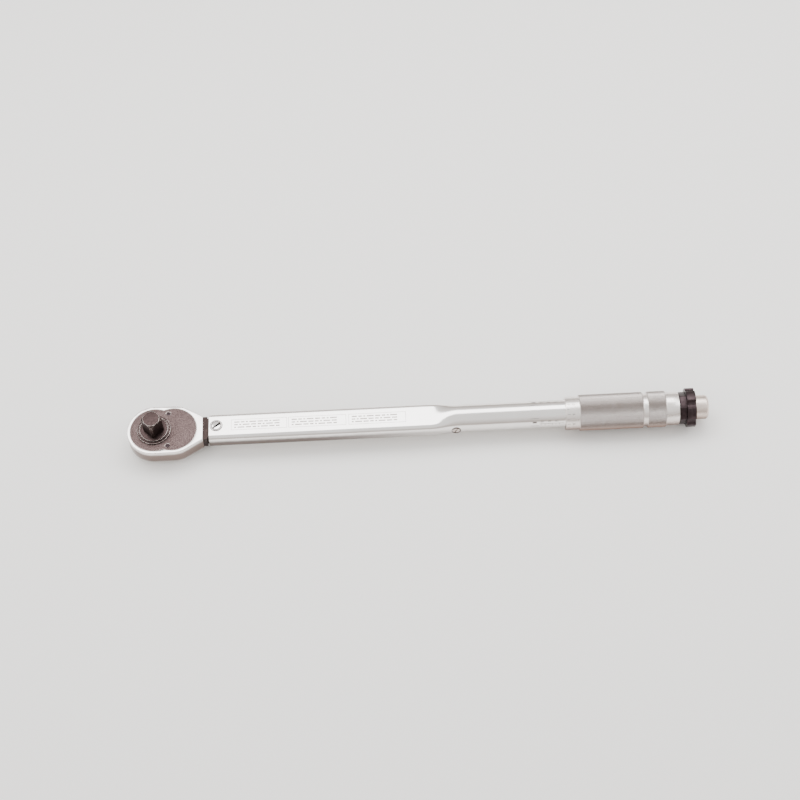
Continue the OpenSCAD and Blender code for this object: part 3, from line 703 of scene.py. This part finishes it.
capSizes = {"edge": 0.3, "reach": 5, "inset": 1}
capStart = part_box("end_cap")[0].x / mm
cap = copyNode("end_cap", "endCap", [satinCap])
bevelEdges(cap, lambda spot, sides: between(sides, 20) and fromAxis(spot) > capSizes["reach"]
           and spot.x > capStart + capSizes["inset"], capSizes["edge"])
smooth(cap, 26)
wear(cap, "lock_knob", ["end_cap"])
print("lock done")

markSizes = {"high": 0.03, "sunk": 0.05, "curveSteps": 3}


def flatBar(x, y, wide, deep):  # a thin bar lying flat, in mm
    startOver()
    bpy.ops.mesh.primitive_cube_add(
        size=1, location=(x * mm, y * mm, (markSizes["high"] - markSizes["sunk"]) / 2 * mm),
        scale=(wide * mm, deep * mm, (markSizes["high"] + markSizes["sunk"]) * mm))
    return settle(bpy.context.object)


def numeral(word, x, y, tall, turned=0):
    startOver()
    bpy.ops.object.text_add(location=(x * mm, y * mm, 0), rotation=(0, 0, turned))
    letters = bpy.context.object
    letters.data.body = word
    letters.data.size = tall * mm
    letters.data.align_x, letters.data.align_y = "CENTER", "CENTER"
    letters.data.extrude = markSizes["high"] / 2 * mm
    letters.data.resolution_u = markSizes["curveSteps"]
    bpy.ops.object.convert(target="MESH")
    bpy.ops.object.mode_set(mode="EDIT")
    bpy.ops.mesh.select_mode(type="VERT")
    bpy.ops.mesh.select_all(action="SELECT")
    bpy.ops.mesh.remove_doubles(threshold=1e-6)
    bpy.ops.mesh.normals_make_consistent(inside=False)
    bpy.ops.object.mode_set(mode="OBJECT")
    return settle(bpy.context.object)


def wrapRound(piece, radius):  # y becomes the way round the tube, z the height off it
    for vert in piece.data.vertices:
        around = vert.co.y / (radius * mm)
        out = radius * mm + vert.co.z
        vert.co.y, vert.co.z = math.sin(around) * out, math.cos(around) * out + tubeSizes["axis"] * mm


frameSizes = {"spans": ((61.6, 106), (107.2, 153), (155, 200.5)), "half": 4.7, "line": 0.28, "inset": 2.5,
              "rows": (-2.4, 0, 2.4), "dashes": (1.6, 2.9, 4.2, 5.5), "dashHigh": 1.1, "dashGap": 1.1,
              "lastRoom": 5, "skip": 3}
half, thin, inset = frameSizes["half"], frameSizes["line"], frameSizes["inset"]
parts = []
for start, end in frameSizes["spans"]:
    parts += [flatBar((start + end) / 2, side * half, end - start, thin) for side in (-1, 1)]
    parts += [flatBar(x, 0, thin, 2 * half - thin) for x in (start + thin / 2, end - thin / 2)]
    for row, y in enumerate(frameSizes["rows"]):  # plain dashes stand for a label's words
        x, number = start + inset, row
        while x < end - inset - frameSizes["lastRoom"]:
            long = frameSizes["dashes"][number % len(frameSizes["dashes"])]
            parts.append(flatBar(x + long / 2, y, long, frameSizes["dashHigh"]))
            x, number = x + long + frameSizes["dashGap"], number + frameSizes["skip"]
frames = join("etchedFrames", parts)
for vert in frames.data.vertices:
    vert.co.z += (tubeSizes["axis"] + tubeSizes["halfHigh"]) * mm
dress(frames, [etched])
wear(frames, "housing")

scaleSizes = {"x": 306.5, "scales": ((38, 1), (-72, -1)), "long": 19, "thin": 0.3,  # degrees round, direction
              "ticks": 6, "tickStep": 2.9, "firstTick": 1, "majorTick": 2.2, "majorOut": 1.3,
              "minorTick": 1.4, "minorOut": 0.9, "numeralX": 1.6, "numeralIn": 2.1, "numeralTall": 2.6,
              "numeralStep": 20, "setLineIn": 1.5, "setLine": 9, "setLineThin": 0.35,
              "unitBlock": (299, 305.5), "unitHalf": 3.4, "unitThin": 0.25, "unitMark": (3.2, 1.4)}
thin, blockThin = scaleSizes["thin"], scaleSizes["unitThin"]
blockStart, blockEnd = scaleSizes["unitBlock"]
blockMiddle = (blockStart + blockEnd) / 2
parts = []
for base, direction in scaleSizes["scales"]:
    start = math.radians(base) * tubeSizes["roundRadius"]
    parts.append(flatBar(scaleSizes["x"] + scaleSizes["long"] / 2, start, scaleSizes["long"], thin))
    for i in range(scaleSizes["ticks"]):
        x = scaleSizes["x"] + i * scaleSizes["tickStep"]
        kind = "minor" if i % 2 else "major"
        parts.append(flatBar(x + scaleSizes["firstTick"], start + direction * scaleSizes[kind + "Out"],
                             thin, scaleSizes[kind + "Tick"]))
        if kind == "major":
            parts.append(numeral(str(scaleSizes["numeralStep"] * (i // 2 + 1)), x + scaleSizes["numeralX"],
                                 start - direction * scaleSizes["numeralIn"], scaleSizes["numeralTall"]))
    middle = start - direction * scaleSizes["setLineIn"]
    parts.append(flatBar(scaleSizes["x"], middle, scaleSizes["setLineThin"], scaleSizes["setLine"]))
    parts += [flatBar(blockMiddle, middle + side * scaleSizes["unitHalf"], blockEnd - blockStart, blockThin)
              for side in (-1, 1)]
    parts.append(flatBar(blockStart, middle, blockThin, 2 * scaleSizes["unitHalf"]))
    parts.append(flatBar(blockMiddle, middle, *scaleSizes["unitMark"]))
scale = join("tubeScale", parts)
wrapRound(scale, tubeSizes["roundRadius"])
dress(scale, [markPaintAndSlotShade])
wear(scale, "housing")

dialSizes = {"count": 10, "tickX": 2.4, "tick": (2.8, 0.3), "halfX": 1.9, "halfTick": (1.8, 0.25),
             "numeralX": 6.4, "numeralTall": 3.0}
wholeTurn = math.tau * band
parts = []
for i in range(dialSizes["count"]):
    way = i / dialSizes["count"] * wholeTurn
    way = way if way < wholeTurn / 2 else way - wholeTurn
    parts.append(flatBar(gripFront + dialSizes["tickX"], way, *dialSizes["tick"]))
    parts.append(numeral(str(i), gripFront + dialSizes["numeralX"], way,
                         dialSizes["numeralTall"], math.pi / 2))
    parts.append(flatBar(gripFront + dialSizes["halfX"], way + wholeTurn / dialSizes["count"] / 2,
                         *dialSizes["halfTick"]))
dial = join("gripGraduations", parts)
wrapRound(dial, band)
dress(dial, [markPaintAndSlotShade])
wear(dial, "handle")
print("marks done")
